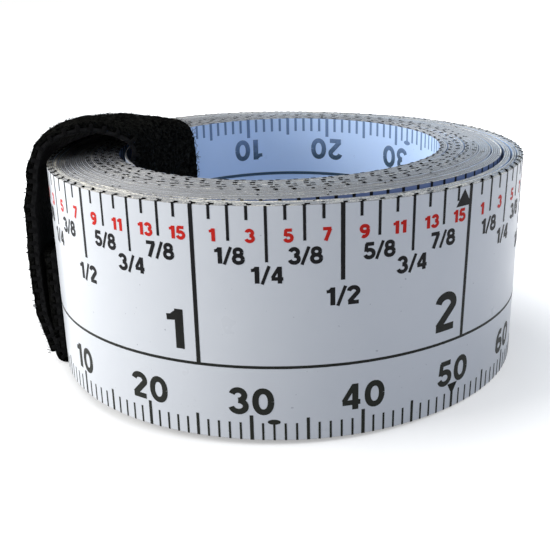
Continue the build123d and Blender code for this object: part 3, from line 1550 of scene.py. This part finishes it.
    def fibres(self, start: float, stop: float, loops: tuple[int, int]) -> bmesh.types.BMesh:
        """Makes loose loops of pile on the strap's outer side.

        Args:
            start: Where they start along the strap.
            stop: Where they stop.
            loops: How many there are, and the seed for their places.

        Returns:
            The loops in the coil's frame.
        """
        count, seed = loops
        dice = random.Random(seed)
        shape = bmesh.new()
        for slip in slips(shape, count, 4):
            along = dice.uniform(start, stop)
            across = dice.uniform(-0.02, 1.02) * self.width
            held = min(self.width, max(0.0, across))
            base = self.frame_at(along, held, self.line.thickness - self.root)
            heading = dice.uniform(0, FULL_TURN)
            length = dice.uniform(0.35, 1.0)
            height = dice.uniform(0.10, 0.34)
            wide = dice.uniform(0.035, 0.06)
            loose = dice.random() < 0.2
            for vert, share, side in slip:
                rise = height * (share if loose else math.sin(math.pi * share))
                flat = Vector(((share - 0.5) * length, (side - 0.5) * wide, 0))
                flat.rotate(Matrix.Rotation(heading, 3, "Z"))
                flat.z = rise
                vert.co = base @ flat
        return shape


@dataclass(frozen=True)
class Lamp:
    """A soft square lamp that faces the object."""

    name: str
    place: tuple[float, float, float]
    size: float
    power: float
    colour: tuple[float, float, float] = (1, 1, 1)

    def build(self) -> None:
        """Makes the lamp."""
        light = bpy.data.lights.new(self.name, "AREA")
        light.size = self.size
        light.energy = self.power
        light.color = self.colour
        holder = link(self.name, light)
        holder.location = self.place
        holder.rotation_mode = "QUATERNION"
        holder.rotation_quaternion = Vector(self.place).to_track_quat("Z", "Y")


@dataclass(frozen=True)
class Studio:
    """The pale ground, the soft lamps and the world."""

    floor_reach: float = 3.0
    lamps: tuple[Lamp, ...] = (
        Lamp("key", (-0.42, -0.20, 0.20), 0.30, 2.65, (1.0, 0.995, 0.98)),
        Lamp("top", (0.0, -0.20, 0.55), 0.5, 1.3, (0.97, 0.985, 1.0)),
        Lamp("fill", (0.52, -0.10, 0.16), 0.4, 0.7, (0.80, 0.86, 1.0)),
        Lamp("back_left", (-0.20, 0.17, 0.17), 0.2, 0.6, (0.97, 0.985, 1.0)),
        Lamp("back", (-0.06, 0.50, 0.16), 0.3, 0.45, (0.50, 0.72, 1.0)),
    )
    world_colour: Colour = (0.84, 0.91, 1.0, 1)
    world_strength: float = 0.26

    def build(self) -> None:
        """Makes the studio."""
        shape = bmesh.new()
        bmesh.ops.create_grid(shape, x_segments=1, y_segments=1, size=self.floor_reach)
        mesh = as_mesh("floor", shape)
        mesh.materials.append(Ground().make())
        link("floor", mesh)
        self.build_world()
        for lamp in self.lamps:
            lamp.build()

    def build_world(self) -> None:
        """Makes a world that lights softly and looks white."""
        surface = Surface(bpy.data.worlds.new("studio"))
        looks = LightPath(surface).looks
        soft = {"Color": self.world_colour, "Strength": self.world_strength}
        ambient = surface.node("ShaderNodeBackground", None, soft)
        white = surface.node("ShaderNodeBackground", None, {"Color": (1, 1, 1, 1), "Strength": 1.0})
        mixed = surface.node("ShaderNodeMixShader", None, {0: looks, 1: ambient, 2: white})
        bpy.context.scene.world = surface.show(mixed)


@dataclass(frozen=True)
class Viewpoint:
    """The camera, in the coil's frame."""

    round_coil: float = math.radians(17.5)
    away: float = 93.23
    height: float = 39.2
    heading: float = math.radians(-0.75)
    down: float = math.radians(19.05)
    roll: float = math.radians(-1.53)
    lens: float = 57.45

    def build(self, place: CoilPlace) -> None:
        """Makes the camera."""
        ahead = Vector(
            (
                math.sin(self.heading) * math.cos(self.down),
                math.cos(self.heading) * math.cos(self.down),
                -math.sin(self.down),
            )
        )
        level = Vector((math.cos(self.heading), -math.sin(self.heading), 0))
        upright = level.cross(ahead)
        right = level * math.cos(self.roll) + upright * math.sin(self.roll)
        up = upright * math.cos(self.roll) - level * math.sin(self.roll)
        pose = Matrix((right, up, -ahead)).transposed().to_4x4()
        pose.translation = Vector((0, -self.away, self.height))
        world = place.to_row @ Matrix.Rotation(self.round_coil, 4, "Z") @ pose
        data = bpy.data.cameras.new("camera")
        data.lens = self.lens
        data.sensor_width = 36
        data.clip_start = 0.005
        camera = link("camera", data)
        location, turn, _ = world.decompose()
        camera.rotation_mode = "QUATERNION"
        camera.location = location
        camera.rotation_quaternion = turn
        bpy.context.scene.camera = camera


def build_print(bench: Bench, winding: Winding) -> None:
    """Builds the scales on the tape's two faces."""
    black, red, blue = BLACK_INK.make(), RED_INK.make(), PAINTED_BLUE_LIGHT_INK.make()
    front = PrintedScale(winding, ScaleLayout())
    back = PrintedScale(winding, BACK_LAYOUT)
    for name, shape, ink in (
        ("front_scale_black", front.black(), black),
        ("front_scale_red", front.red(), red),
        ("inner_scale_ticks", front.inner_ticks(), black),
        ("edge_marks", EdgeMarks(front).build(), EDGE_INK.make()),
        ("back_scale_black", back.black(), blue),
        ("back_scale_red", back.red(), red),
    ):
        bench.finish(name, shape, [ink], "coil", None)


def build_strap(bench: Bench, strap: Strap) -> None:
    """Builds the strap's two strips, its stitching and its loose pile."""
    pile, hooks, thread = StrapPile().make(), StrapHooks().make(), Thread().make()
    hook_depths = (0.0, strap.hook_depth)
    pile_depths = (strap.hook_depth, strap.line.thickness)
    for part, start, stop, body in (
        ("band", 0.0, strap.split, "strap_band"),
        ("flap", strap.split, strap.length, None),
    ):
        inner = strap.strip(start, stop, hook_depths, strap.hook_fuzz)
        outer = strap.strip(start, stop, pile_depths, strap.pile_fuzz)
        strips = (
            ("hook_strip", inner, hooks, "strap_hooks"),
            ("pile_strip", outer, pile, "strap_pile"),
            ("edge_stitching", strap.stitches(start, stop), thread, "strap_thread"),
        )
        for name, shape, material, slot in strips:
            piece = bench.finish(f"{name}_{part}_dressed", shape, [material], body)
            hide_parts(f"{name}_{part}")
            if body is None:
                bend_at_hinge(piece)
    bore = strap.fibres(strap.bore, strap.split, strap.bore_loops)
    bench.finish("pile_fibres_band", bore, [pile], "strap_band", None)
    over = strap.fibres(strap.split, strap.length, strap.flap_loops)
    bend_at_hinge(bench.finish("pile_fibres_flap", over, [pile], None, None))


def bend_at_hinge(piece: bpy.types.Object) -> None:
    """Bakes the transform of a piece of the flap into its mesh.

    Args:
        piece: The piece.
    """
    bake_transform(piece)


def main() -> None:
    """Builds the scene and reports its pieces."""
    logging.basicConfig(level=logging.INFO, format="%(name)s %(message)s")
    scene = bpy.context.scene
    scene.view_settings.view_transform = "Standard"
    place = CoilPlace.from_frame()
    Viewpoint().build(place)
    Studio().build()
    bench = Bench(place)
    winding = Winding()
    ribbon = bench.finish(
        "tape_ribbon",
        TapeRibbon(winding).build(),
        [WHITE_LACQUER.make(), TapeEdge().make(), PAINTED_BLUE_LIGHT_LACQUER.make(), SHADED_LACQUER.make()],
        "coil",
    )
    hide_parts("tape_blade")
    build_print(bench, winding)
    build_strap(bench, Strap(place))


if __name__ == "__main__":
    main()
